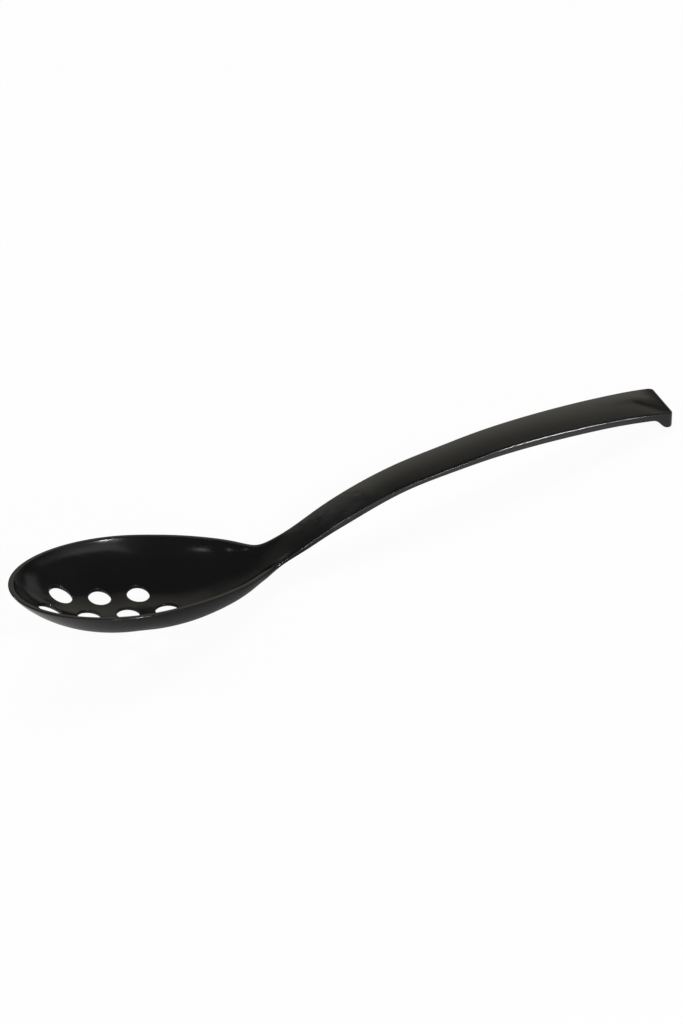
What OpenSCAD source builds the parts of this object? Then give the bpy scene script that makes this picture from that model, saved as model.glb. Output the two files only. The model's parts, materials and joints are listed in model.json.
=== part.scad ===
// Serving spoon with round drain holes
// One glossy moulding: a deep oval bowl, a cranked neck, a long crowned handle and a hooked end.
// Its skin is lofted through sections, and neighbouring regions share the section where they meet.
// Along x, distances run from the bowl's tip to the handle's end. Heights start at the bowl's rim.
// The finished spoon is tipped, so that it lies on the belly of its bowl and the lip of its hook.

/* [Overall] */
// Length of the spoon, from the bowl's tip to the handle's end
spoon_l = 254; // [225:1:330]
// Climb of the handle, from the bowl's rim to the handle's end
handle_rise = 46; // [30:0.2:60]

/* [Bowl] */
// Width of the bowl over its rim
bowl_w = 67.5; // [58:0.5:80]
// Distance from the bowl's tip to its widest place
widest_x = 43; // [36:0.5:50]
// Length of the bowl, from its tip to where its rim starts to climb
bowl_l = 95; // [85:0.5:104]
// Depth of the bowl outside, below its rim
bowl_depth = 17.5; // [12:0.1:26]
// Thickness of the bowl's floor
wall_t = 1.1; // [1:0.1:2.4]
// Width of the flat land round the rim
rim_w = 1.9; // [1:0.1:3]
// Height of the upright edge of the rim
rim_h = 0.5; // [0.5:0.1:1.5]

/* [Drain holes] */
// Diameter of a drain hole
hole_d = 8.6; // [5:0.1:11]
// Distance between neighbouring holes of a row
hole_pitch = 14.8; // [13:0.1:16]
// Distance from the bowl's tip to the first hole of the middle row
hole_x = 14.8; // [12:0.1:20]
// Distance from the bowl's tip to the first hole of a side row
side_hole_x = 21.4; // [19:0.1:26]
// Distance between the middle row and a side row
row_gap = 12.3; // [10:0.1:14]
// Number of holes in the middle row, one more than in each side row
middle_holes = 4; // [2:1:4]

/* [Neck] */
// Length of the neck, from the end of the bowl to the handle
neck_l = 25; // [20:0.5:35]
// Distance from the bowl's tip to the narrowest place
waist_x = 109.5; // [106:0.5:114]
// Width at the narrowest place
waist_w = 17.7; // [14:0.1:24]

/* [Handle] */
// Thickness of the handle below its edges, along its middle
handle_t = 3.2; // [2.8:0.1:5]
// Height of the handle's upright sides
side_h = 2.6; // [2:0.1:2.7]
// Height of the crown above the handle's edges
crown_h = 0.9; // [0.2:0.1:1.5]
// Width of the handle at its end
end_w = 23.9; // [20:0.1:30]
// Width of the bevel along the upper edges
bevel_w = 0.4; // [0.2:0.1:0.5]

/* [Hook] */
// Length of the hooked end
hook_l = 15; // [13:0.5:20]
// Height of the hook, from the handle's edge to the tip of the lip
hook_h = 6; // [5:0.1:8]
// Thickness of the lip at its tip
lip_w = 3.4; // [2.5:0.1:4]
// Slope of the lip's inner face
lip_angle = 45; // [40:1:60]
// Radius of the handle's upper end edge
end_r = 0.8; // [0.4:0.1:1.5]
// Radius of the lip's outer lower edge
nose_r = 1; // [0.5:0.1:1.5]
// Radius of the handle's corners, seen from above
corner_r = 2.5; // [1:0.1:4]

/* [Hidden] */
plastic_colour = "#1b1c1a";

// Sides of a drain hole, and steps of the loft along each region and round the tip
$fn = 48;
bowl_steps = 16;
tip_steps = 36;
neck_steps = 10;
handle_steps = 28;
shank_steps = 4;
lip_steps = 4;
corner_steps = 5;
// Rows of the loft from the middle of a section to its rim land
dish_rows = 9;
// The upper rows end with the land and the bevel, and the lower rows mirror them
edge_row = dish_rows + 2;
last_row = 2 * edge_row + 1;

// How far a cutter runs past the face that it cuts
overrun = 2;
// A quarter turn, and the directions of the sections on the far and the near side
quarter_angle = 90;
far_angle = 90;
near_angle = 270;

// Powers that set how full the bowl's sections are
bow_exponent = 2.55;
wall_exponent = 0.89;

// Half width from the widest place to the waist: share of the way, share of the narrowing left
outline_shares = [
    [0, 1], [0.12, 0.975], [0.27, 0.883], [0.42, 0.75], [0.57, 0.56], [0.7, 0.33],
    [0.76, 0.19], [0.82, 0.083], [0.88, 0.03], [0.94, 0.007], [1, 0]
];
// Depth from the widest place to the waist: share of the way, share of the dish left
depth_shares = [
    [0, 0.96], [0.12, 0.995], [0.23, 1], [0.34, 0.955], [0.45, 0.855], [0.6, 0.655],
    [0.75, 0.34], [0.85, 0.12], [0.95, 0.01], [1, 0]
];
// Climb from the end of the bowl to the handle's end: share of the way, share of the climb
rise_shares = [
    [0, 0], [0.04, 0.05], [0.1, 0.168], [0.15, 0.277], [0.2, 0.376], [0.25, 0.464],
    [0.35, 0.607], [0.45, 0.711], [0.55, 0.807], [0.65, 0.881], [0.75, 0.935], [0.87, 0.981], [1, 1]
];
// Half width from the waist to the handle's end: share of the way, share of the widening
flare_shares = [
    [0, 0], [0.11, 0.13], [0.22, 0.18], [0.35, 0.27], [0.5, 0.34],
    [0.63, 0.42], [0.75, 0.58], [0.87, 0.76], [1, 1]
];
// Height of the sides from the bowl to the hooked end: share of the way, share of the growth
side_shares = [
    [0, 0], [0.045, 0.3], [0.1, 0.7], [0.17, 0.93], [0.23, 1.05],
    [0.36, 0.78], [0.44, 0.68], [0.53, 0.76], [0.65, 1], [1, 1]
];
// Share of the hooked end over which the crown runs out
crown_end_share = 0.85;

// Where the handle and the hooked end start
handle_x = bowl_l + neck_l;
hook_x = spoon_l - hook_l;
// Where the lip's inner face leaves the underside
lip_x = spoon_l - lip_w - (hook_h - side_h) / tan(lip_angle);

// Slope of a table of shares at a row, level at both ends
function row_slope(rows, i) =
    i == 0 || i == len(rows) - 1 ? 0 : (rows[i + 1][1] - rows[i - 1][1]) / (rows[i + 1][0] - rows[i - 1][0]);

// The row that starts the stretch which holds a share of the way
function row_at(rows, way, i = 0) =
    i >= len(rows) - 2 || way < rows[i + 1][0] ? i : row_at(rows, way, i + 1);

// Smooth curve through a table of shares
function follow(rows, way) =
    let (
        w = min(max(way, 0), 1),
        i = row_at(rows, w),
        run = rows[i + 1][0] - rows[i][0],
        s = (w - rows[i][0]) / run,
        a = rows[i][1],
        b = rows[i + 1][1],
        slope_a = row_slope(rows, i) * run,
        slope_b = row_slope(rows, i + 1) * run
    )
    a + s * (slope_a + s * (3 * (b - a) - 2 * slope_a - slope_b + s * (2 * (a - b) + slope_a + slope_b)));

// Goes smoothly from 0 to 1 as x goes from a to b
function ease(a, b, x) =
    let (s = min(max((x - a) / (b - a), 0), 1))
    s * s * (3 - 2 * s);

// Rounding off of a corner of radius r that ends at x = reach: what it takes away at x
function rounding(r, reach, x) =
    x <= reach - r ? 0 : r - sqrt(max(r * r - pow(x - reach + r, 2), 0));

// Height of the upper edge above the bowl's rim
function edge_z(x) = handle_rise * follow(rise_shares, (x - bowl_l) / (spoon_l - bowl_l));

// Half width of the spoon behind the bowl's widest place
function half_w(x) =
    x < waist_x
    ? waist_w / 2 + (bowl_w - waist_w) / 2 * follow(outline_shares, (x - widest_x) / (waist_x - widest_x))
    : waist_w / 2 + (end_w - waist_w) / 2 * follow(flare_shares, (x - waist_x) / (spoon_l - waist_x))
        - rounding(corner_r, spoon_l, x);

// How much wider the land is across the spoon than square to its edge, which turns most at the
// shoulders between the bowl and the waist
function land_stretch(x) =
    x <= widest_x || x > waist_x ? 1 : sqrt(1 + pow((half_w(x + rim_w) - half_w(x)) / rim_w, 2));

// Share of the bowl's depth that is left at x
function dish_share(x) = follow(depth_shares, (x - widest_x) / (waist_x - widest_x));
function dish_depth(x) = (bowl_depth - wall_t) * dish_share(x);
function crown_at(x) =
    crown_h * ease(bowl_l, handle_x, x) * (1 - ease(spoon_l - hook_l * crown_end_share, spoon_l, x));

// Depth of the lip below the upper edge, and of the whole side and the belly
function lip_depth(x) =
    min(hook_h, side_h + (x - lip_x) * tan(lip_angle)) - rounding(nose_r, spoon_l, x);
function side_depth(x) =
    max(rim_h + (side_h - rim_h) * follow(side_shares, (x - bowl_l) / (hook_x - bowl_l)), lip_depth(x));
function belly_depth(x) = max(handle_t + (bowl_depth - handle_t) * dish_share(x), lip_depth(x));

// Height of a section's curve at a share of its half width, from 1 in the middle to 0 at the edge
function bow(share) = pow(1 - pow(share, bow_exponent), wall_exponent);

// Half section at x: distance from the middle and height, over the top and back underneath
function half_section(x, reach) =
    let (
        z = edge_z(x),
        top = z - rounding(end_r, spoon_l, x),
        inner = reach - rim_w * land_stretch(x),
        crown = crown_at(x),
        side = side_depth(x),
        belly = belly_depth(x) - side
    )
    concat(
        [for (i = [0:dish_rows])
            let (s = sin(quarter_angle * i / dish_rows), r = inner * s)
            [r, top + crown * (1 - pow(r / reach, 2)) - dish_depth(x) * bow(s)]],
        [[reach - bevel_w, top + crown * (1 - pow(1 - bevel_w / reach, 2))]],
        [[reach, top - bevel_w]],
        [for (i = [edge_row:-1:0])
            let (s = sin(quarter_angle * i / edge_row))
            [reach * s, z - side - belly * bow(s)]]
    );

// Reach of the bowl's front half from its widest place, in any direction
function tip_reach(turn) = 1 / sqrt(pow(cos(turn) / widest_x, 2) + pow(sin(turn) / (bowl_w / 2), 2));

// Points of one half section, turned about the upright line at x
function spoke(x, turn, reach) = [
    for (p = half_section(x, reach)) [x + p[0] * cos(turn), p[0] * sin(turn), p[1]]
];

// Two triangles between neighbouring half sections, without those that shrink to a line
function patch(a, b, c, d, far) = [
    for (face = far ? [[a, b, c], [a, c, d]] : [[a, b, d], [b, c, d]])
        if (face[0] != face[1] && face[1] != face[2] && face[0] != face[2]) face
];

// Solid through the sections at the given places, ordered from the handle towards the tip.
// The half sections follow each other along the far side, round the tip if there is one, and back
// along the near side. Both ends of a region, or the bowl's one end, are closed by a flat face.
module loft(places, round_tip) {
    n = len(places);
    round_count = round_tip ? tip_steps - 1 : 0;
    count = 2 * n + round_count;
    far = [for (x = places) spoke(x, far_angle, half_w(x))];
    tip = [
        for (i = [1:1:round_count])
            let (turn = far_angle + 2 * quarter_angle * i / tip_steps)
            spoke(widest_x, turn, tip_reach(turn))
    ];
    near = [for (i = [n - 1:-1:0]) spoke(places[i], near_angle, half_w(places[i]))];
    spokes = concat(far, tip, near);
    middle = [for (s = far) each [s[0], s[last_row]]];
    skin = [for (s = spokes) for (j = [1:last_row - 1]) s[j]];

    // Number of a point, where the middle points are shared by both sides
    function place_of(k) = k < n ? k : k >= count - n ? count - 1 - k : n - 1;
    function id(k, j) =
        j == 0 ? 2 * place_of(k)
        : j == last_row ? 2 * place_of(k) + 1
        : 2 * n + k * (last_row - 1) + j - 1;
    function strip(k) = [
        for (j = [0:last_row - 1])
            each patch(id(k, j), id(k + 1, j), id(k + 1, j + 1), id(k, j + 1), k < count / 2)
    ];
    // Flat end, as quads between the upper and the lower rows of one half section
    function half_end(k, outward) = [
        for (j = [0:edge_row - 1])
            let (quad = [id(k, j), id(k, j + 1), id(k, last_row - j - 1), id(k, last_row - j)])
            outward ? quad : [quad[3], quad[2], quad[1], quad[0]]
    ];

    sides = [for (k = [0:count - 2]) if (round_tip || k != n - 1) each strip(k)];
    back_end = concat(half_end(0, true), half_end(count - 1, false));
    front_end = round_tip ? [] : concat(half_end(n - 1, false), half_end(n, true));
    polyhedron(points = concat(middle, skin), faces = concat(sides, back_end, front_end));
}

// Places of the sections between two ends, in equal steps, from the handle towards the tip
function steps_between(from, to, steps) = [for (i = [0:steps]) from + (to - from) * i / steps];
function without_last(list) = [for (i = [0:len(list) - 2]) list[i]];

bowl_places = steps_between(bowl_l, widest_x, bowl_steps);
neck_places = steps_between(handle_x, bowl_l, neck_steps);
handle_places = steps_between(hook_x, handle_x, handle_steps);
// The corners are sampled evenly round their arc, then come the lip's flat tip and slanted face
hook_places = concat(
    [for (i = [0:corner_steps - 1]) spoon_l - corner_r * (1 - cos(quarter_angle * i / corner_steps))],
    [spoon_l - corner_r],
    without_last(steps_between(spoon_l - max(lip_w, corner_r + bevel_w), lip_x, lip_steps)),
    steps_between(lip_x, hook_x, shank_steps)
);

// Resting pose. The lowest points of belly and lip are found on the middle line of the underside.
tip_line = [
    for (i = [0:bowl_steps])
        let (s = sin(quarter_angle * i / bowl_steps))
        [widest_x * (1 - s), -rim_h - (belly_depth(widest_x) - rim_h) * bow(s)]
];
belly_line = concat(tip_line, [for (x = bowl_places) [x, edge_z(x) - belly_depth(x)]]);
lip_line = [for (x = hook_places) [x, edge_z(x) - belly_depth(x)]];
function tipped_x(p, turn) = p[0] * cos(turn) + p[1] * sin(turn);
function tipped_z(p, turn) = p[1] * cos(turn) - p[0] * sin(turn);
function lowest(line, turn) =
    let (heights = [for (p = line) tipped_z(p, turn)], i = search(min(heights), heights)[0])
    line[i];
// Tips the spoon again and again until the line through both lowest points is level
function settle(turn, rounds) =
    rounds < 1 ? turn
    : let (a = lowest(belly_line, turn), b = lowest(lip_line, turn))
        settle(atan2(b[1] - a[1], b[0] - a[0]), rounds - 1);
settle_steps = 8;
rest_turn = settle(0, settle_steps);
rest_z = -tipped_z(lowest(belly_line, rest_turn), rest_turn);
// The spoon reaches from the lower edge of its tip to the upper edge of its end
front_x = tipped_x([0, -rim_h], rest_turn);
back_x = tipped_x([spoon_l, edge_z(spoon_l) - end_r], rest_turn);

module at_rest() {
    translate([-(front_x + back_x) / 2, 0, rest_z])
        rotate([0, rest_turn, 0])
            children();
}

// One row of drain holes through the floor, across the spoon at y
module hole_row(y, first_x, holes) {
    for (i = [0:holes - 1])
        translate([first_x + i * hole_pitch, y, -bowl_depth - overrun])
            cylinder(h = bowl_depth + overrun, d = hole_d);
}

module bowl() {
    color(plastic_colour)
        at_rest()
            difference() {
                loft(bowl_places, true);
                hole_row(0, hole_x, middle_holes);
                for (side = [-1, 1])
                    hole_row(side * row_gap, side_hole_x, middle_holes - 1);
            }
}

module neck() {
    color(plastic_colour)
        at_rest()
            loft(neck_places, false);
}

module handle() {
    color(plastic_colour)
        at_rest()
            loft(handle_places, false);
}

module end_hook() {
    color(plastic_colour)
        at_rest()
            loft(hook_places, false);
}

bowl();
neck();
handle();
end_hook();
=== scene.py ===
"""Serving spoon with round drain holes, as one seamless glossy moulding in a plain studio."""
import json
import math

import bpy
import numpy as np
from mathutils import Matrix, Vector
from mathutils.geometry import delaunay_2d_cdt


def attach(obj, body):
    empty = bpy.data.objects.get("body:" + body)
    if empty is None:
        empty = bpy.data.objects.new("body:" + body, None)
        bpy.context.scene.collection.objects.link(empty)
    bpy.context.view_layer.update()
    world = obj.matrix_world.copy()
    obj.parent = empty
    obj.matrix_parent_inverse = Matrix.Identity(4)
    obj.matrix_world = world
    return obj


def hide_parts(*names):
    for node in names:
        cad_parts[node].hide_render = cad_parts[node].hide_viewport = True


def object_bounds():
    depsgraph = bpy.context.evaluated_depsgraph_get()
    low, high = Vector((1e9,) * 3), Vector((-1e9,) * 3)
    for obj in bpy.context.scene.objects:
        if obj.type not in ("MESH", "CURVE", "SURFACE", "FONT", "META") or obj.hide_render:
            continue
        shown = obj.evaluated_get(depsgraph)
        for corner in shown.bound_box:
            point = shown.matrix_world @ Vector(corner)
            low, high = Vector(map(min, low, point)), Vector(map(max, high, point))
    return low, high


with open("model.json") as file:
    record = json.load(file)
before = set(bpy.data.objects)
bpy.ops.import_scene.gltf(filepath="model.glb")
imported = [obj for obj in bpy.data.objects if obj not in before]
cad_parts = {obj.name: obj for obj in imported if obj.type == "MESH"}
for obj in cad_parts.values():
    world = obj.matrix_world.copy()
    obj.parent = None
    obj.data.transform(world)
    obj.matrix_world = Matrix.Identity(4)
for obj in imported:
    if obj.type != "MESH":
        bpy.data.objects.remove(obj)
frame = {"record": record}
CAD_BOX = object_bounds()

# Driving sizes, the same as the part's own. Lengths are in millimetres.
SPOON_L = 254.0
HANDLE_RISE = 46.0
BOWL_W = 67.5
WIDEST_X = 43.0
BOWL_L = 95.0
BOWL_DEPTH = 17.5
WALL_T = 1.1
RIM_W = 1.9
RIM_H = 0.5
HOLE_D = 8.6
HOLE_PITCH = 14.8
HOLE_X = 14.8
SIDE_HOLE_X = 21.4
ROW_GAP = 12.3
MIDDLE_HOLES = 4
NECK_L = 25.0
WAIST_X = 109.5
WAIST_W = 17.7
HANDLE_T = 3.2
SIDE_H = 2.6
CROWN_H = 0.9
END_W = 23.9
BEVEL_W = 0.4
HOOK_L = 15.0
HOOK_H = 6.0
LIP_W = 3.4
LIP_ANGLE = math.radians(45.0)
END_R = 0.8
NOSE_R = 1.0
CORNER_R = 2.5
CROWN_END_SHARE = 0.85
BOW_EXPONENT = 2.55
WALL_EXPONENT = 0.89

# Shares of the way and of the change, from one named place to the next
OUTLINE_SHARES = [
    (0, 1), (0.12, 0.975), (0.27, 0.883), (0.42, 0.75), (0.57, 0.56), (0.7, 0.33),
    (0.76, 0.19), (0.82, 0.083), (0.88, 0.03), (0.94, 0.007), (1, 0),
]
DEPTH_SHARES = [
    (0, 0.96), (0.12, 0.995), (0.23, 1), (0.34, 0.955), (0.45, 0.855), (0.6, 0.655),
    (0.75, 0.34), (0.85, 0.12), (0.95, 0.01), (1, 0),
]
RISE_SHARES = [
    (0, 0), (0.04, 0.05), (0.1, 0.168), (0.15, 0.277), (0.2, 0.376), (0.25, 0.464),
    (0.35, 0.607), (0.45, 0.711), (0.55, 0.807), (0.65, 0.881), (0.75, 0.935), (0.87, 0.981), (1, 1),
]
FLARE_SHARES = [
    (0, 0), (0.11, 0.13), (0.22, 0.18), (0.35, 0.27), (0.5, 0.34),
    (0.63, 0.42), (0.75, 0.58), (0.87, 0.76), (1, 1),
]
SIDE_SHARES = [
    (0, 0), (0.045, 0.3), (0.1, 0.7), (0.17, 0.93), (0.23, 1.05),
    (0.36, 0.78), (0.44, 0.68), (0.53, 0.76), (0.65, 1), (1, 1),
]

# Small edge radii, which the solids show as bevels or leave sharp
RIM_ROUND = 0.4
RIM_INNER_ROUND = 0.3
HANDLE_ROUND = 0.6
UNDER_ROUND = 0.45
LIP_BLEND = 1.2
HOLE_ROUND = 0.3

# Places along the spoon that follow from the sizes
HANDLE_X = BOWL_L + NECK_L
HOOK_X = SPOON_L - HOOK_L
LIP_X = SPOON_L - LIP_W - (HOOK_H - SIDE_H) / math.tan(LIP_ANGLE)
HALF_BOWL = BOWL_W / 2


class ShareCurve:
    """Smooth curve through a table of shares, level at both ends."""

    def __init__(self, rows):
        self.x, self.y = np.array(rows, float).T
        gaps = np.diff(self.x)
        count = len(self.x)
        system = np.zeros((count, count))
        right = np.zeros(count)
        system[0, 0] = system[-1, -1] = 1.0
        for i in range(1, count - 1):
            system[i, i - 1] = gaps[i]
            system[i, i] = 2 * (gaps[i - 1] + gaps[i])
            system[i, i + 1] = gaps[i - 1]
            left_slope = (self.y[i] - self.y[i - 1]) / gaps[i - 1]
            right_slope = (self.y[i + 1] - self.y[i]) / gaps[i]
            right[i] = 3 * (gaps[i] * left_slope + gaps[i - 1] * right_slope)
        self.slope = np.linalg.solve(system, right)

    def __call__(self, way):
        way = np.clip(way, 0.0, 1.0)
        i = np.clip(np.searchsorted(self.x, way, side="right") - 1, 0, len(self.x) - 2)
        run = self.x[i + 1] - self.x[i]
        part = (way - self.x[i]) / run
        a, b = self.y[i], self.y[i + 1]
        slope_a, slope_b = self.slope[i] * run, self.slope[i + 1] * run
        cubic = 2 * (a - b) + slope_a + slope_b
        square = 3 * (b - a) - 2 * slope_a - slope_b
        return a + part * (slope_a + part * (square + part * cubic))


outline_curve = ShareCurve(OUTLINE_SHARES)
depth_curve = ShareCurve(DEPTH_SHARES)
rise_curve = ShareCurve(RISE_SHARES)
flare_curve = ShareCurve(FLARE_SHARES)
side_curve = ShareCurve(SIDE_SHARES)


def ease(a, b, x):
    """Goes smoothly from 0 to 1 as x goes from a to b."""
    part = np.clip((x - a) / (b - a), 0.0, 1.0)
    return part * part * (3 - 2 * part)


def rounding(radius, reach, x):
    """What a rounded corner that ends at reach takes away at x."""
    inside = np.maximum(x - reach + radius, 0.0)
    return radius - np.sqrt(np.maximum(radius * radius - inside * inside, 0.0))


def smooth_max(a, b, size):
    """The larger of two values, blended where they differ by less than size."""
    return np.maximum(a, b) + np.maximum(size - np.abs(a - b), 0.0) ** 2 / (4 * size)


def smooth_min(a, b, size):
    """The smaller of two values, blended where they differ by less than size."""
    return -smooth_max(-a, -b, size)


def edge_z(x):
    """Height of the upper edge above the bowl's rim."""
    return HANDLE_RISE * rise_curve((x - BOWL_L) / (SPOON_L - BOWL_L))


def half_w(x):
    """Half width behind the bowl's widest place."""
    bowl = WAIST_W / 2 + (BOWL_W - WAIST_W) / 2 * outline_curve((x - WIDEST_X) / (WAIST_X - WIDEST_X))
    handle = WAIST_W / 2 + (END_W - WAIST_W) / 2 * flare_curve((x - WAIST_X) / (SPOON_L - WAIST_X))
    return np.where(x < WAIST_X, bowl, handle) - rounding(CORNER_R, SPOON_L, x)


def land_w(x):
    """Width of the rim's land across the spoon, wider where the outline runs at a slant."""
    slope = (half_w(x + RIM_W) - half_w(x)) / RIM_W
    return RIM_W * np.where((x > WIDEST_X) & (x < WAIST_X), np.sqrt(1 + slope * slope), 1.0)


def dish_share(x):
    """Share of the bowl's depth that is left at x."""
    return depth_curve((x - WIDEST_X) / (WAIST_X - WIDEST_X))


def dish_depth(x):
    """Depth of the inner surface below the edge, along the middle."""
    return (BOWL_DEPTH - WALL_T) * dish_share(x)


def crown_at(x):
    """Height of the handle's crown above its edges."""
    run_out = ease(SPOON_L - HOOK_L * CROWN_END_SHARE, SPOON_L, x)
    return CROWN_H * ease(BOWL_L, HANDLE_X, x) * (1 - run_out)


def with_lip(depth, x):
    """A depth below the edge, deepened where the hook's lip hangs down."""
    slanted = SIDE_H + (x - LIP_X) * math.tan(LIP_ANGLE)
    lip = smooth_min(slanted, np.full_like(x, HOOK_H), LIP_BLEND)
    return smooth_max(depth, lip, LIP_BLEND) - rounding(NOSE_R, SPOON_L, x)


def side_depth(x):
    """Depth of the upright side's lower edge below the upper edge."""
    grown = RIM_H + (SIDE_H - RIM_H) * side_curve((x - BOWL_L) / (HOOK_X - BOWL_L))
    return with_lip(grown, x)


def belly_depth(x):
    """Depth of the underside's middle line below the upper edge."""
    return with_lip(HANDLE_T + (BOWL_DEPTH - HANDLE_T) * dish_share(x), x)


def bow(share):
    """Height of a section's curve, from 1 in the middle to 0 at the edge."""
    share = np.clip(share, 0.0, 1.0)
    return (1 - share ** BOW_EXPONENT) ** WALL_EXPONENT


def tip_reach(turn):
    """Reach of the bowl's front half from its widest place, in any direction."""
    return 1 / np.sqrt((np.cos(turn) / WIDEST_X) ** 2 + (np.sin(turn) / HALF_BOWL) ** 2)


def top_z(x, r, reach):
    """Height of the upper surface at distance r from the middle of a section."""
    inner = reach - land_w(x)
    crown = crown_at(x) * (1 - (r / reach) ** 2)
    dish = np.where(r < inner, dish_depth(x) * bow(r / inner), 0.0)
    return edge_z(x) - rounding(END_R, SPOON_L, x) + crown - dish


def under_z(x, r, reach):
    """Height of the underside at distance r from the middle of a section."""
    side = side_depth(x)
    return edge_z(x) - side - (belly_depth(x) - side) * bow(r / reach)


def polar(points):
    """Section, distance from its middle, and reach, for points of the plan."""
    x, y = points[:, 0], points[:, 1]
    ahead = x < WIDEST_X
    turn = np.arctan2(y, x - WIDEST_X)
    place = np.where(ahead, WIDEST_X, x)
    r = np.where(ahead, np.hypot(x - WIDEST_X, y), np.abs(y))
    reach = np.where(ahead, tip_reach(turn), half_w(place))
    return place, r, reach


# Resting pose, read from the frame: the handle's end face gives the tilt, the box gives the place
end_face = next(m for m in frame["record"]["mounts"] if m["name"] == "hook_end_face")
TILT = math.atan2(-end_face["axis"][2], end_face["axis"][0])
MM = 0.001
TILTED = Matrix.Rotation(TILT, 4, "Y")
tip_low = TILTED @ Vector((0, 0, -RIM_H))
tip_high = TILTED @ Vector((BEVEL_W, 0, 0))
REST = Matrix.Translation((CAD_BOX[0][0] / MM - tip_low.x, 0, CAD_BOX[1][2] / MM - tip_high.z)) @ TILTED
TO_FRAME = Matrix.Scale(MM, 4) @ REST

# Camera at the photograph's viewing angle, from a fit of the rim, the holes and the handle's end.
# It is placed in the frame of the bowl's rim, in millimetres from the bowl's tip.
IMAGE_W, IMAGE_H = 683, 1024
FOCAL_PX = 3575.0
VIEW_TURN = math.radians(-15.55)
VIEW_RISE = math.radians(26.24)
VIEW_DISTANCE = 1317.7
AIM_X = 1.4
AIM_PX = (13.0, 589.7)
CLIP_M = (0.05, 50.0)    # nearest and farthest distance that it sees, in metres


def put_in_scene(name, data):
    """Object for a camera, a mesh or a lamp, linked to the scene."""
    thing = bpy.data.objects.new(name, data)
    bpy.context.scene.collection.objects.link(thing)
    return thing


def place_camera():
    """Camera that sees the aimed point of the rim's plane at its pixel of the photograph."""
    back = Vector((math.sin(VIEW_TURN) * math.cos(VIEW_RISE),
                   -math.cos(VIEW_TURN) * math.cos(VIEW_RISE), math.sin(VIEW_RISE)))
    right = Vector((math.cos(VIEW_TURN), math.sin(VIEW_TURN), 0.0))
    up = back.cross(right)
    across = (AIM_PX[0] - IMAGE_W / 2) / FOCAL_PX
    down = (AIM_PX[1] - IMAGE_H / 2) / FOCAL_PX
    place = Vector((AIM_X, 0, 0)) + VIEW_DISTANCE * (back - across * right + down * up)
    data = bpy.data.cameras.new("photo_camera")
    data.sensor_fit = "VERTICAL"
    data.angle = 2 * math.atan(IMAGE_H / 2 / FOCAL_PX)
    data.clip_start, data.clip_end = CLIP_M
    camera = put_in_scene("photo_camera", data)
    turn = Matrix((right, up, back)).transposed().to_4x4()
    pose = REST @ Matrix.Translation(place) @ turn
    pose.translation = pose.translation * MM
    camera.matrix_world = pose
    bpy.context.scene.camera = camera


place_camera()

# The moulding's mesh, in millimetres. Counts of steps set how fine it is.
SHELL_SHARE = 0.87       # share of a half section that the drilled floor reaches
FLOOR_END_X = 67.0       # the drilled floor ends behind the last hole
TIP_STEPS = 96
FLOOR_STEPS = 24
BACK_STEPS = 46
HANDLE_STEPS = 92
HOOK_STEPS = 42
CORNER_STEPS = 14
FLOOR_ROWS = 20
WALL_ROWS = 14
ROUND_ROWS = 4
WALL = slice(FLOOR_ROWS, -FLOOR_ROWS)    # rows of a half section between the upper and the lower floor
RING_STEPS = 56
HOLE_R = HOLE_D / 2
RING_GAP = 0.8           # width of the ring of quads round a hole
RING_R = HOLE_R + RING_GAP
INSIDE_SHARE = 0.999     # share of a ring's inner radius within which a triangle's middle is inside it
SPACING = 1.15           # spacing of the points between the holes
ROW_STEP = SPACING * math.sqrt(0.75)     # distance of their rows
RING_CLEAR = 0.55        # share of the spacing that these points keep from the rings
BORDER_CLEAR = 0.5       # and from the floor's border
UPPER_ROUND_SHARE = 0.45     # most of the side's height that its upper rounding takes
UNDER_ROUND_SHARE = 0.8      # and most of the rest that the lower rounding takes
LEVEL_RISE = 1e-9        # least rise of a border's edge, so that no division is by zero
MERGE_GAP = 1e-7         # distance at which the triangulation takes two points for one


def hole_centres():
    """Centres of the drain holes in the plan."""
    middle = [(HOLE_X + i * HOLE_PITCH, 0.0) for i in range(MIDDLE_HOLES)]
    sides = [(SIDE_HOLE_X + i * HOLE_PITCH, side * ROW_GAP)
             for i in range(MIDDLE_HOLES - 1) for side in (-1, 1)]
    return np.array(middle + sides)


HOLES = hole_centres()
RING_ANGLES = np.linspace(0, 2 * math.pi, RING_STEPS, endpoint=False)
RING = np.c_[np.cos(RING_ANGLES), np.sin(RING_ANGLES)]


class Builder:
    """Collects points and faces in the frame of the bowl's rim."""

    def __init__(self):
        self.points = []
        self.faces = []

    def add(self, points):
        """Adds points and gives their numbers."""
        start = len(self.points)
        self.points.extend(tuple(p) for p in points)
        return list(range(start, len(self.points)))

    def add_on(self, surface, plan, lift=0.0):
        """Adds points of the plan at the height of a surface, or that much above it."""
        return self.add(np.c_[plan, surface(*polar(plan)) + lift])

    def face(self, *ids):
        """Adds a face, without the points that repeat their neighbour."""
        kept = [a for i, a in enumerate(ids) if a != ids[i - 1]]
        if len(kept) > 2:
            self.faces.append(kept)

    def strip(self, a, b, closed=False):
        """Quads between two rows of points with the same count."""
        count = len(a)
        for i in range(count if closed else count - 1):
            j = (i + 1) % count
            self.face(a[i], a[j], b[j], b[i])


def corner(a, b, c):
    """Rounds the corner b between a and c, with both ends."""
    part = np.linspace(0, 1, ROUND_ROWS + 1)[:, None]
    return (1 - part) ** 2 * a + 2 * part * (1 - part) * b + part * part * c


def wall_shares(last):
    """Places along a half section as shares of it, even over the floor and closer up the wall."""
    floor = np.linspace(0, SHELL_SHARE, FLOOR_ROWS + 1)
    wall = np.sin(np.linspace(math.asin(SHELL_SHARE), math.asin(last), WALL_ROWS + 1))
    return np.r_[floor, wall[1:]]


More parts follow.
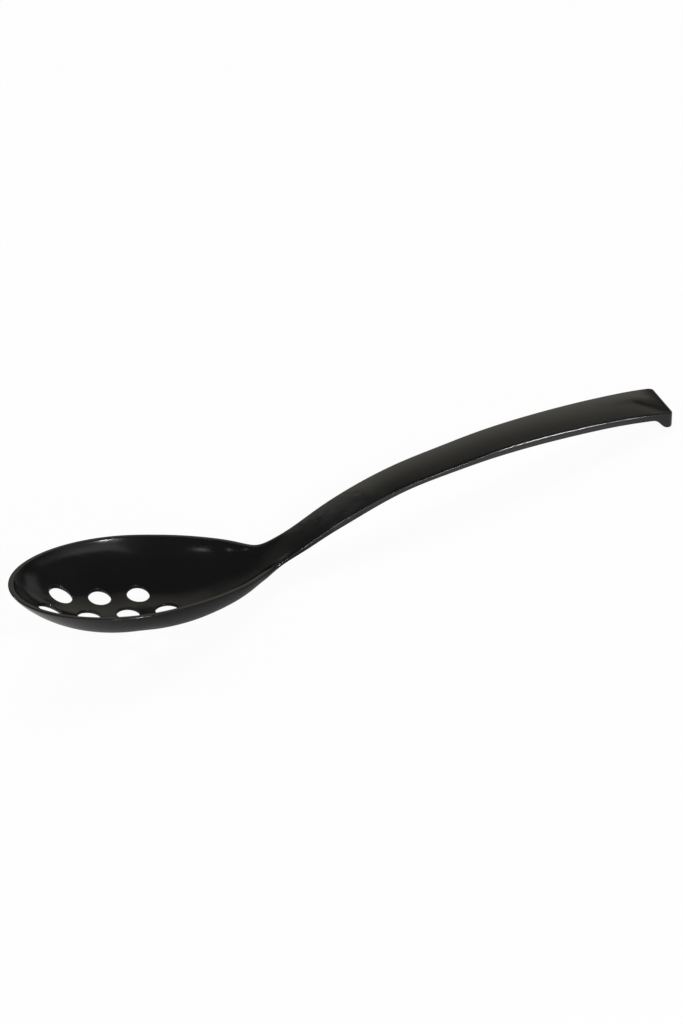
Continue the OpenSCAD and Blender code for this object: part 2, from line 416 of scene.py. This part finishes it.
def section(x, reach):
    """Half section as rows of (distance, height): floor, wall, land, rounded edge, side, underside."""

    def row(surface, r):
        return np.c_[r, surface(np.full_like(r, x), r, reach)]

    def point(surface, r):
        return row(surface, np.array([r]))[0]

    inner = reach - land_w(x)
    side = float(side_depth(np.array([x]))[0])
    edge_round = RIM_ROUND + (HANDLE_ROUND - RIM_ROUND) * ease(BOWL_L, HANDLE_X, x)
    upper = row(top_z, inner * wall_shares(1 - RIM_INNER_ROUND / 2 / inner))
    upper_edge = point(top_z, reach)
    below = upper_edge - (0, min(edge_round, side * UPPER_ROUND_SHARE))
    side_low = np.array([reach, edge_z(x) - side])
    under_round = min(UNDER_ROUND, (below[1] - side_low[1]) * UNDER_ROUND_SHARE)
    lower = row(under_z, reach * wall_shares(1 - under_round / reach))[::-1]
    return np.vstack([
        upper[:-1],
        corner(upper[-1], point(top_z, inner), point(top_z, inner + RIM_INNER_ROUND)),
        corner(point(top_z, reach - edge_round), upper_edge, below),
        corner(side_low + (0, under_round), side_low, point(under_z, reach - under_round)),
        lower[1:],
    ])


def add_half(build, x, turn, reach, rows=slice(None)):
    """Adds rows of a half section that is turned about the upright line at x."""
    points = section(x, reach)[rows]
    return build.add(np.c_[x + points[:, 0] * math.cos(turn), points[:, 0] * math.sin(turn), points[:, 1]])


def reach_at(x):
    """Half width at one place, as a plain number."""
    return float(half_w(np.array([x]))[0])


def section_places():
    """Places of the full sections, from the handle's end to the drilled floor."""
    corner_turns = np.linspace(math.pi / 2, 0, CORNER_STEPS, endpoint=False)
    end = SPOON_L - CORNER_R * (1 - np.sin(corner_turns))
    hook = np.linspace(SPOON_L - CORNER_R, HOOK_X, HOOK_STEPS, endpoint=False)
    handle = np.linspace(HOOK_X, HANDLE_X, HANDLE_STEPS, endpoint=False)
    back = np.linspace(HANDLE_X, FLOOR_END_X, BACK_STEPS, endpoint=False)
    return [*end, *hook, *handle, *back, FLOOR_END_X]


def build_sections(build):
    """Handle, neck and back of the bowl. Gives the far and the near half of the last section."""
    far, near = [], []
    for x in section_places():
        far.append(add_half(build, x, math.pi / 2, reach_at(x)))
        between = add_half(build, x, -math.pi / 2, reach_at(x), slice(1, -1))
        near.append([far[-1][0], *between, far[-1][-1]])
    for a, b in zip(far[:-1], far[1:]):
        build.strip(a, b)
    for a, b in zip(near[:-1], near[1:]):
        build.strip(b, a)
    build.face(*near[0], *far[0][-2:0:-1])      # closes the handle's end
    return far[-1], near[-1]


def build_wall(build, far, near):
    """Wall round the drilled floor, from the far half of the last full section to its near half."""
    halves = [far[WALL]]
    for x in np.linspace(FLOOR_END_X, WIDEST_X, FLOOR_STEPS + 1)[1:]:
        halves.append(add_half(build, x, math.pi / 2, reach_at(x), WALL))
    for turn in np.linspace(math.pi / 2, 3 * math.pi / 2, TIP_STEPS + 1)[1:-1]:
        halves.append(add_half(build, WIDEST_X, turn, float(tip_reach(turn)), WALL))
    for x in np.linspace(WIDEST_X, FLOOR_END_X, FLOOR_STEPS + 1)[:-1]:
        halves.append(add_half(build, x, -math.pi / 2, reach_at(x), WALL))
    halves.append(near[WALL])
    for a, b in zip(halves[:-1], halves[1:]):
        build.strip(a, b)
    return halves


def floor_grid(outline):
    """Points of a triangular grid inside the floor's border, clear of it and of the rings."""
    low, high = outline.min(0), outline.max(0)
    grid = []
    for row, y in enumerate(np.arange(low[1], high[1], ROW_STEP)):
        shift = SPACING / 2 * (row % 2)
        grid.extend((x, y) for x in np.arange(low[0] + shift, high[0], SPACING))
    grid = np.array(grid)
    from_hole = np.hypot(*(grid[:, None] - HOLES[None]).transpose(2, 0, 1)).min(1)
    grid = grid[from_hole > RING_R + SPACING * RING_CLEAR]

    # A point is inside if a line from it along +X crosses the border an odd number of times
    ends = np.roll(outline, -1, axis=0)
    along = ends - outline
    offset = grid[:, None] - outline[None]
    share = np.clip((offset * along).sum(2) / (along ** 2).sum(1), 0, 1)
    gap = np.hypot(*(offset - share[..., None] * along).transpose(2, 0, 1)).min(1)
    crosses = (outline[None, :, 1] > grid[:, None, 1]) != (ends[None, :, 1] > grid[:, None, 1])
    rise = np.where(np.abs(along[:, 1]) < LEVEL_RISE, LEVEL_RISE, along[:, 1])
    hit = outline[:, 0] + (grid[:, None, 1] - outline[:, 1]) * along[:, 0] / rise
    inside = (crosses & (grid[:, None, 0] < hit)).sum(1) % 2 == 1
    return grid[inside & (gap > SPACING * BORDER_CLEAR)]


def build_floor(build, border, surface, flip):
    """Triangles between a border and the rings round the holes, on the upper or the lower surface."""
    grid = floor_grid(np.array([build.points[i][:2] for i in border]))
    grid_ids = build.add_on(surface, grid)
    ring_ids = [build.add_on(surface, centre + RING_R * RING) for centre in HOLES]
    ids, edges = [], []
    for loop in [border, *ring_ids]:
        edges.extend((len(ids) + i, len(ids) + (i + 1) % len(loop)) for i in range(len(loop)))
        ids.extend(loop)
    ids.extend(grid_ids)
    corners = [Vector(build.points[i][:2]) for i in ids]
    verts, _, faces, origins, _, _ = delaunay_2d_cdt(corners, edges, [], 0, MERGE_GAP, True)
    inside_r = RING_R * math.cos(math.pi / RING_STEPS) * INSIDE_SHARE
    for face in faces:
        middle = sum((Vector(verts[i]) for i in face), Vector((0, 0))) / len(face)
        if np.hypot(*(HOLES - np.array(middle)).T).min() >= inside_r:
            kept = [ids[origins[i][0]] for i in face]
            build.face(*(reversed(kept) if flip else kept))
    return ring_ids


def hole_rings(build, surface, ring_ids, way):
    """Rings of one side of every hole, from the floor over the rounded edge into the bore.

    The way is -1 down from the upper surface, and 1 up from the lower one.
    """
    turns = np.linspace(0, math.pi / 2, ROUND_ROWS + 2)
    radii = [HOLE_R + HOLE_ROUND + (RING_GAP - HOLE_ROUND) / 2,
             *(HOLE_R + HOLE_ROUND * (1 - np.sin(turns)))]
    drops = [0.0, *(HOLE_ROUND * (1 - np.cos(turns)))]
    last = []
    for centre, ids in zip(HOLES, ring_ids):
        rows = [ids]
        for radius, drop in zip(radii, drops):
            rows.append(build.add_on(surface, centre + radius * RING, way * drop))
        for a, b in zip(rows[:-1], rows[1:]):
            build.strip(*((a, b) if way < 0 else (b, a)), closed=True)
        last.append(rows[-1])
    return last


def build_moulding():
    """The whole spoon as one closed mesh."""
    build = Builder()
    far, near = build_sections(build)
    halves = build_wall(build, far, near)
    # The drilled floor's borders run along the wall and back across the last full section
    upper_border = [half[0] for half in halves] + near[FLOOR_ROWS - 1:0:-1] + far[:FLOOR_ROWS]
    lower_border = [half[-1] for half in halves] + near[-FLOOR_ROWS:-1] + far[:-FLOOR_ROWS - 1:-1]
    upper_rings = build_floor(build, upper_border, top_z, False)
    lower_rings = build_floor(build, lower_border, under_z, True)
    upper_last = hole_rings(build, top_z, upper_rings, -1)
    lower_last = hole_rings(build, under_z, lower_rings, 1)
    for a, b in zip(upper_last, lower_last):
        build.strip(a, b, closed=True)
    return build


def make_moulding():
    """The spoon as a Blender object in the shared frame, kept inside the solids' box."""
    build = build_moulding()
    mesh = bpy.data.meshes.new("spoon_moulding")
    points = np.array([TO_FRAME @ Vector(p) for p in build.points])
    low, high = np.array(CAD_BOX)
    size = points.max(0) - points.min(0)
    shrink = np.minimum(1.0, (high - low) / size)
    points = (low + high) / 2 + (points - (points.max(0) + points.min(0)) / 2) * shrink
    mesh.from_pydata(points.tolist(), [], build.faces)
    mesh.validate()
    mesh.shade_smooth()
    return put_in_scene("spoon_moulding", mesh)


spoon = make_moulding()
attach(spoon, "root")
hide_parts("bowl", "neck", "handle", "end_hook")

# Looks of the plastic. Colours are linear, and noise scales are in waves per metre.
# A pair of numbers is where a change starts and where it is complete.
PLASTIC_IOR = 1.5
PIGMENT_DEEP = (0.0056, 0.0055, 0.0060, 1.0)
PIGMENT_LIGHT = (0.0072, 0.0070, 0.0076, 1.0)
CLOUD_SCALE = 35.0
CLOUD_RANGE = (0.35, 0.65)
# Painted reflection: lighter patches of pigment at the neck stand in for a blotchy reflection
NECK_REFLECTION_TONE = (0.0145, 0.0150, 0.0155, 1.0)
NECK_REFLECTION_START = (-0.024, -0.006)           # metres along the spoon, where the painted reflection begins
NECK_REFLECTION_END = (0.020, 0.008)               # and where it ends
NECK_REFLECTION_SCALE = 210.0
NECK_REFLECTION_RANGE = (0.4, 0.6)
NECK_REFLECTION_LEAST = 0.35                       # share of the painted reflection that is left between its patches
WORN_TONE = (0.040, 0.038, 0.036, 1.0)
WORN_SHARE = 0.6
WORN_ROUGH = 0.08
EDGE_RANGE = (0.53, 0.62)                # pointiness at which an edge starts to show wear, and is worn
WEAR_SCALE = 900.0
WEAR_RANGE = (0.42, 0.62)
ROUGH_LOW = 0.10
ROUGH_HIGH = 0.16
HAZE_SCALE = 60.0
HAZE_RANGE = (0.3, 0.7)
SCUFF_SCALES = (60.0, 900.0, 900.0)      # lower along the spoon, so that the scuffs run that way
SCUFF_RANGE = (0.6, 0.72)
SCUFF_ROUGH = 0.05
BUMP_HEIGHT = 0.0001                     # metres
RIPPLE_SCALE = 110.0
RIPPLE_SHARE = 0.6
FLOW_START = (-0.036, -0.024)            # metres along the spoon, where the flow marks begin
FLOW_END = (0.014, 0.004)                # and where they end
FLOW_SCALE = 330.0
FLOW_SHARE = 1.2


class Nodes:
    """Short way to build a node tree."""

    def __init__(self, tree):
        self.tree = tree
        self.nodes = tree.nodes

    def add(self, kind, inputs=None, **settings):
        """Adds a node. Its inputs are sockets to link or plain values to set."""
        node = self.nodes.new(kind)
        for key, value in settings.items():
            setattr(node, key, value)
        for key, value in (inputs or {}).items():
            if isinstance(value, bpy.types.NodeSocket):
                self.tree.links.new(value, node.inputs[key])
            else:
                node.inputs[key].default_value = value
        return node

    def link(self, output, node_name, socket_name):
        """Links an output to a node that the tree had from the start."""
        self.tree.links.new(output, self.nodes[node_name].inputs[socket_name])

    def math(self, operation, a, b):
        return self.add("ShaderNodeMath", {0: a, 1: b}, operation=operation).outputs[0]

    def distance(self, a, b):
        node = self.add("ShaderNodeVectorMath", {0: a, 1: b}, operation="DISTANCE")
        return node.outputs["Value"]

    def mix(self, share, a, b):
        """Colour that goes from a to b as the share goes from 0 to 1."""
        return self.add("ShaderNodeMix", {"Factor": share, "A": a, "B": b}, data_type="RGBA").outputs[2]

    def noise(self, vector, scale, detail):
        node = self.add("ShaderNodeTexNoise", {"Vector": vector, "Scale": scale, "Detail": detail})
        return node.outputs["Fac"]

    def product(self, first, *others):
        """All the values multiplied."""
        for other in others:
            first = self.math("MULTIPLY", first, other)
        return first

    def ramp(self, value, start, end, low=0.0, high=1.0):
        """Smooth change from low to high while a value goes from start to end."""
        node = self.add("ShaderNodeMapRange", {"Value": value, 1: start, 2: end, 3: low, 4: high},
                        interpolation_type="SMOOTHSTEP")
        return node.outputs["Result"]


def new_material(name):
    """Material with nodes, and the short way to build them."""
    material = bpy.data.materials.new(name)
    material.use_nodes = True
    return material, Nodes(material.node_tree)


def plastic_material():
    """Glossy near-black plastic with a painted reflection in patches and flow marks at the neck, fine scuffs
    and worn edges.
    """
    material, nodes = new_material("black_plastic")
    shader = nodes.nodes["Principled BSDF"]
    shader.inputs["IOR"].default_value = PLASTIC_IOR
    place = nodes.add("ShaderNodeTexCoord").outputs["Object"]
    along = nodes.add("ShaderNodeSeparateXYZ", {0: place}).outputs[0]

    # Slow cloudiness of the pigment, lighter patches at the neck that are a painted reflection, and edges
    # that handling has worn grey
    cloud = nodes.ramp(nodes.noise(place, CLOUD_SCALE, detail=3.0), *CLOUD_RANGE)
    # Painted reflection at the neck: the pigment is lighter in patches
    reflection_patches = nodes.ramp(nodes.noise(place, NECK_REFLECTION_SCALE, detail=4.0), *NECK_REFLECTION_RANGE, low=NECK_REFLECTION_LEAST)
    painted_reflection = nodes.product(nodes.ramp(along, *NECK_REFLECTION_START), nodes.ramp(along, *NECK_REFLECTION_END), reflection_patches)
    pigment = nodes.mix(painted_reflection, nodes.mix(cloud, PIGMENT_DEEP, PIGMENT_LIGHT), NECK_REFLECTION_TONE)
    edge = nodes.ramp(nodes.add("ShaderNodeNewGeometry").outputs["Pointiness"], *EDGE_RANGE)
    worn = nodes.product(edge, nodes.ramp(nodes.noise(place, WEAR_SCALE, detail=3.0), *WEAR_RANGE))
    colour = nodes.mix(nodes.math("MULTIPLY", worn, WORN_SHARE), pigment, WORN_TONE)
    nodes.link(colour, shader.name, "Base Color")

    # Roughness: haze, fine scuffs along the spoon, and the worn edges
    haze = nodes.ramp(nodes.noise(place, HAZE_SCALE, detail=4.0), *HAZE_RANGE, ROUGH_LOW, ROUGH_HIGH)
    stretch = nodes.add("ShaderNodeMapping", {"Vector": place, "Scale": SCUFF_SCALES}).outputs[0]
    scuff = nodes.ramp(nodes.noise(stretch, scale=1.0, detail=2.0), *SCUFF_RANGE, high=SCUFF_ROUGH)
    rough = nodes.math("ADD", nodes.math("ADD", haze, scuff), nodes.math("MULTIPLY", worn, WORN_ROUGH))
    nodes.link(rough, shader.name, "Roughness")

    # Waviness of the moulded skin, stronger where the flow turns at the neck
    neck = nodes.product(nodes.ramp(along, *FLOW_START), nodes.ramp(along, *FLOW_END))
    ripple = nodes.math("MULTIPLY", nodes.noise(place, RIPPLE_SCALE, detail=3.0), RIPPLE_SHARE)
    flow = nodes.product(nodes.noise(place, FLOW_SCALE, detail=2.0), neck, FLOW_SHARE)
    bump = nodes.add("ShaderNodeBump", {"Height": nodes.math("ADD", ripple, flow),
                                        "Distance": BUMP_HEIGHT, "Strength": 1.0})
    nodes.link(bump.outputs["Normal"], shader.name, "Normal")
    return material


spoon.data.materials.append(plastic_material())

# Surroundings, by a ray's direction: x along the spoon, y across it and away from the viewer, z up.
# A pair of numbers is where a part starts and where it is full. With four, the last two are the shares
# of the part that are there at the first two.
AMBIENT_LEVEL = 0.03
FRONT_LEVEL = 0.9
FRONT_DEPTH = (-0.35, -0.75)
FRONT_TOP = (0.5, 0.24)
FRONT_RIGHT = (0.27, 0.55, 1.0, 0.45)
BACK_LEVEL = 0.17
BACK_TINT = (1.0, 0.965, 0.82)
BACK_DEPTH = (0.25, 0.65)
BACK_RISE = (0.35, 0.65, 1.0, 0.35)
BACK_TOP = (0.9, 0.7)
BACK_LEFT = (-0.17, -0.12, 0.4, 1.0)
BACK_RIGHT = (0.6, 0.9, 1.0, 0.1)
SIDE_LEVEL = 0.3
SIDE_DEPTH = (0.05, 0.2)
SIDE_FOOT = (0.05, 0.1)
SIDE_TOP = (0.3, 0.2)
SIDE_LEFT = (0.76, 0.84)
SIDE_RIGHT = (0.97, 0.92)
BAND_LEVEL = 0.75
BAND_AXIS = (0.4057, 0.2293, 0.8848)     # the band is part of a ring of directions round this one
BAND_OUTER = (0.44, 0.61, 0.15, 1.0)     # its edges, as cosines of the angle to that axis
BAND_INNER = (0.67, 0.62)
BAND_DEPTH = (0.1, -0.15)
BAND_LEFT = (0.12, 0.35)
BAND_RIGHT = (0.95, 0.6, 0.25, 1.0)

# Bright card behind the spoon, in metres. Its parts are given as those of the surroundings are.
CARD_LEVEL = 0.165
CARD_X = (-0.2, 0.8)
CARD_Y = 0.6
CARD_Z = (0.0, 1.0)
CARD_SLANT = 0.9                         # rise of the line along its top for each metre to the right
CARD_TOP = (0.80, 0.25)                  # heights of that line at x = 0
CARD_FOOT = (0.0, 0.05)
CARD_LEFT = (-0.14, -0.115, 0.0, 0.2)    # faint from here on
CARD_MIDDLE = (-0.02, -0.008, 0.0, 0.8)  # and full from here on
CARD_RIGHT = (0.75, 0.55)
PATCH_PLACE = (0.46, 0.215)              # middle of its dark patch, by x and z
PATCH_RADII = (0.12, 0.085)
PATCH_GLOW = (0.3, 1.15)                 # glow of the card, by the distance from that middle in radii
PATCH_CLEAR = (0.2, 1.1, 0.3, 1.0)       # and how much the card lets through

# Pale floor, in metres. What mirrored rays see of it is given as the parts of the surroundings are, with
# painted shade: a painted shadow round the bowl's foot, and darker far off, behind and to the right.
FLOOR_REACH = 8.0
FLOOR_TONE = 0.93
SEEN_GLOW = 0.95                         # share of plain glow in what the camera sees of the floor
MIRRORED_GLOW = 0.9                      # and in what mirrored rays see of it
SEEN_TINT = (1.0, 1.0, 1.0, 1.0)
MIRRORED_TINT = (1.0, 0.96, 0.95, 1.0)
BOWL_FOOT = (-0.065, 0.0, 0.0)
MIRRORED_SHADOW_NEAR = (0.03, 0.12, 0.14, 1.0)      # painted shadow, by the distance from the bowl's foot
# Painted shade far off, behind and to the right, in what mirrored rays see of the floor
MIRRORED_SHADE_FAR = (0.2, 0.3, 1.0, 0.08)
MIRRORED_SHADE_BEHIND = (0.03, 0.08, 1.0, 0.1)
MIRRORED_SHADE_RIGHT = (0.1, 0.13, 1.0, 0.6)

# Lamps: name, azimuth and elevation in degrees, distance and size in metres, brightness as seen from the
# spoon, and whether reflections show the lamp. Azimuth 0 looks along +Y and 90 along +X.
LAMPS = [
    ("softbox", 10, 62, 2.4, (2.0, 1.2), 3.5, False),
    ("flash", 162, 25, 2.4, (0.25, 0.25), 200.0, True),
    ("edge_lamp", 187, 17, 2.4, (0.15, 0.15), 80.0, True),
    ("rim_lamp", -46, 29, 2.4, (0.2, 0.2), 60.0, True),
    ("low_lamp", 173, 13, 2.4, (0.2, 0.2), 35.0, True),
    ("small_lamp", -146, 51.5, 2.0, (0.08, 0.08), 8.0, True),
    ("dim_lamp", -118, 48, 2.0, (0.12, 0.12), 1.8, True),
]


def make_world():
    """Soft surroundings.

    White low behind the viewer, warm grey behind the spoon, and to the right a dim patch low down and a
    thin bright band higher up.
    """
    world = bpy.data.worlds.new("studio")
    bpy.context.scene.world = world
    world.use_nodes = True
    nodes = Nodes(world.node_tree)
    look = nodes.add("ShaderNodeTexCoord").outputs["Generated"]
    x, y, z = nodes.add("ShaderNodeSeparateXYZ", {0: look}).outputs
    front = nodes.product(nodes.ramp(y, *FRONT_DEPTH), nodes.ramp(z, *FRONT_TOP),
                          nodes.ramp(x, *FRONT_RIGHT), FRONT_LEVEL)
    back = nodes.product(nodes.ramp(y, *BACK_DEPTH), nodes.ramp(z, *BACK_RISE), nodes.ramp(z, *BACK_TOP),
                         nodes.ramp(x, *BACK_LEFT), nodes.ramp(x, *BACK_RIGHT), BACK_LEVEL)
    side = nodes.product(nodes.ramp(x, *SIDE_LEFT), nodes.ramp(x, *SIDE_RIGHT), nodes.ramp(z, *SIDE_TOP),
                         nodes.ramp(z, *SIDE_FOOT), nodes.ramp(y, *SIDE_DEPTH), SIDE_LEVEL)
    compared = nodes.add("ShaderNodeVectorMath", {0: look, 1: BAND_AXIS}, operation="DOT_PRODUCT")
    cosine = compared.outputs["Value"]
    band = nodes.product(nodes.ramp(cosine, *BAND_OUTER), nodes.ramp(cosine, *BAND_INNER),
                         nodes.ramp(x, *BAND_RIGHT), nodes.ramp(x, *BAND_LEFT),
                         nodes.ramp(y, *BAND_DEPTH), BAND_LEVEL)
    plain = nodes.math("ADD", nodes.math("ADD", front, AMBIENT_LEVEL), nodes.math("ADD", band, side))
    tinted = nodes.add("ShaderNodeVectorMath", {0: BACK_TINT, "Scale": back}, operation="SCALE")
    colour = nodes.add("ShaderNodeVectorMath", {0: tinted.outputs[0], 1: plain}, operation="ADD")
    nodes.link(colour.outputs[0], "Background", "Color")


def make_sheet(name, corners):
    """Flat sheet with four corners."""
    mesh = bpy.data.meshes.new(name)
    mesh.from_pydata(corners, [], [(0, 1, 2, 3)])
    return put_in_scene(name, mesh)


def make_card():
    """Bright card that only mirrored rays see, with a patch that glows less and darkens what lies behind."""
    (left, right), (foot, top) = CARD_X, CARD_Z
    card = make_sheet("bright_card", [(left, CARD_Y, foot), (right, CARD_Y, foot),
                                      (right, CARD_Y, top), (left, CARD_Y, top)])
    card.visible_camera = card.visible_diffuse = card.visible_shadow = False
    material, nodes = new_material("bright_card")
    place = nodes.add("ShaderNodeTexCoord").outputs["Object"]
    x, _, z = nodes.add("ShaderNodeSeparateXYZ", {0: place}).outputs
    lean = nodes.math("SUBTRACT", z, nodes.math("MULTIPLY", x, CARD_SLANT))
    sideways = nodes.math("ADD", nodes.ramp(x, *CARD_LEFT), nodes.ramp(x, *CARD_MIDDLE))
    (patch_x, patch_z), (patch_w, patch_h) = PATCH_PLACE, PATCH_RADII
    in_radii = nodes.add("ShaderNodeMapping", {"Vector": place, "Scale": (1 / patch_w, 0.0, 1 / patch_h)})
    away = nodes.distance(in_radii.outputs[0], (patch_x / patch_w, 0.0, patch_z / patch_h))
    level = nodes.product(sideways, nodes.ramp(lean, *CARD_TOP), nodes.ramp(away, *PATCH_GLOW),
                          nodes.ramp(x, *CARD_RIGHT), nodes.ramp(z, *CARD_FOOT), CARD_LEVEL)
    glow = nodes.add("ShaderNodeEmission", {"Color": (*BACK_TINT, 1.0), "Strength": level})
    clear = nodes.add("ShaderNodeBsdfTransparent", {"Color": nodes.ramp(away, *PATCH_CLEAR)})
    both = nodes.add("ShaderNodeAddShader", {0: clear.outputs[0], 1: glow.outputs[0]})
    nodes.link(both.outputs[0], "Material Output", "Surface")
    card.data.materials.append(material)


def make_floor():
    """Pale floor that fills the view. Mirrored rays see it tinted, with painted shade: a painted shadow
    round the bowl's foot, and darker far off, behind and to the right.
    """
    floor = make_sheet("floor", [(-FLOOR_REACH, -FLOOR_REACH, 0), (FLOOR_REACH, -FLOOR_REACH, 0),
                                 (FLOOR_REACH, FLOOR_REACH, 0), (-FLOOR_REACH, FLOOR_REACH, 0)])
    material, nodes = new_material("pale_floor")
    shader = nodes.nodes["Principled BSDF"]
    shader.inputs["Base Color"].default_value = (FLOOR_TONE, FLOOR_TONE, FLOOR_TONE, 1)
    shader.inputs["Roughness"].default_value = 1.0
    shader.inputs["Specular IOR Level"].default_value = 0.0
    rays = nodes.add("ShaderNodeLightPath").outputs
    seen = rays["Is Camera Ray"]
    mirrored = nodes.math("MAXIMUM", rays["Is Glossy Ray"], rays["Is Transmission Ray"])
    plain = nodes.math("ADD", nodes.math("MULTIPLY", seen, SEEN_GLOW),
                       nodes.math("MULTIPLY", mirrored, MIRRORED_GLOW))
    place = nodes.add("ShaderNodeTexCoord").outputs["Object"]
    along, across, _ = nodes.add("ShaderNodeSeparateXYZ", {0: place}).outputs
    # Painted shade that only mirrored rays see: a shadow round the bowl's foot, and darker far off, behind
    # and to the right
    away = nodes.distance(place, BOWL_FOOT)
    painted_shade = nodes.product(nodes.ramp(across, *MIRRORED_SHADE_BEHIND), nodes.ramp(away, *MIRRORED_SHADOW_NEAR),
                          nodes.ramp(away, *MIRRORED_SHADE_FAR), nodes.ramp(along, *MIRRORED_SHADE_RIGHT))
    glow = nodes.add("ShaderNodeEmission", {"Color": nodes.mix(seen, MIRRORED_TINT, SEEN_TINT),
                                            "Strength": nodes.math("MAXIMUM", seen, painted_shade)})
    mixed = nodes.add("ShaderNodeMixShader", {0: plain, 1: shader.outputs[0], 2: glow.outputs[0]})
    nodes.link(mixed.outputs[0], "Material Output", "Surface")
    floor.data.materials.append(material)


def direction(azimuth, elevation):
    """Unit vector of an azimuth and an elevation in degrees."""
    azimuth, elevation = math.radians(azimuth), math.radians(elevation)
    return Vector((math.sin(azimuth) * math.cos(elevation),
                   math.cos(azimuth) * math.cos(elevation), math.sin(elevation)))


def add_lamp(name, azimuth, elevation, distance, size, level, mirrored):
    """Soft rectangular lamp that faces the spoon."""
    data = bpy.data.lights.new(name, "AREA")
    data.shape = "RECTANGLE"
    data.size, data.size_y = size
    data.energy = level * math.pi * size[0] * size[1]
    toward = direction(azimuth, elevation)
    across = Vector((0, 0, 1)).cross(toward).normalized()
    turn = Matrix((across, toward.cross(across), toward)).transposed().to_4x4()
    lamp = put_in_scene(name, data)
    lamp.matrix_world = Matrix.Translation(toward * distance) @ turn
    lamp.visible_glossy = mirrored


bpy.context.scene.view_settings.view_transform = "Standard"
make_world()
make_floor()
make_card()
for lamp_values in LAMPS:
    add_lamp(*lamp_values)
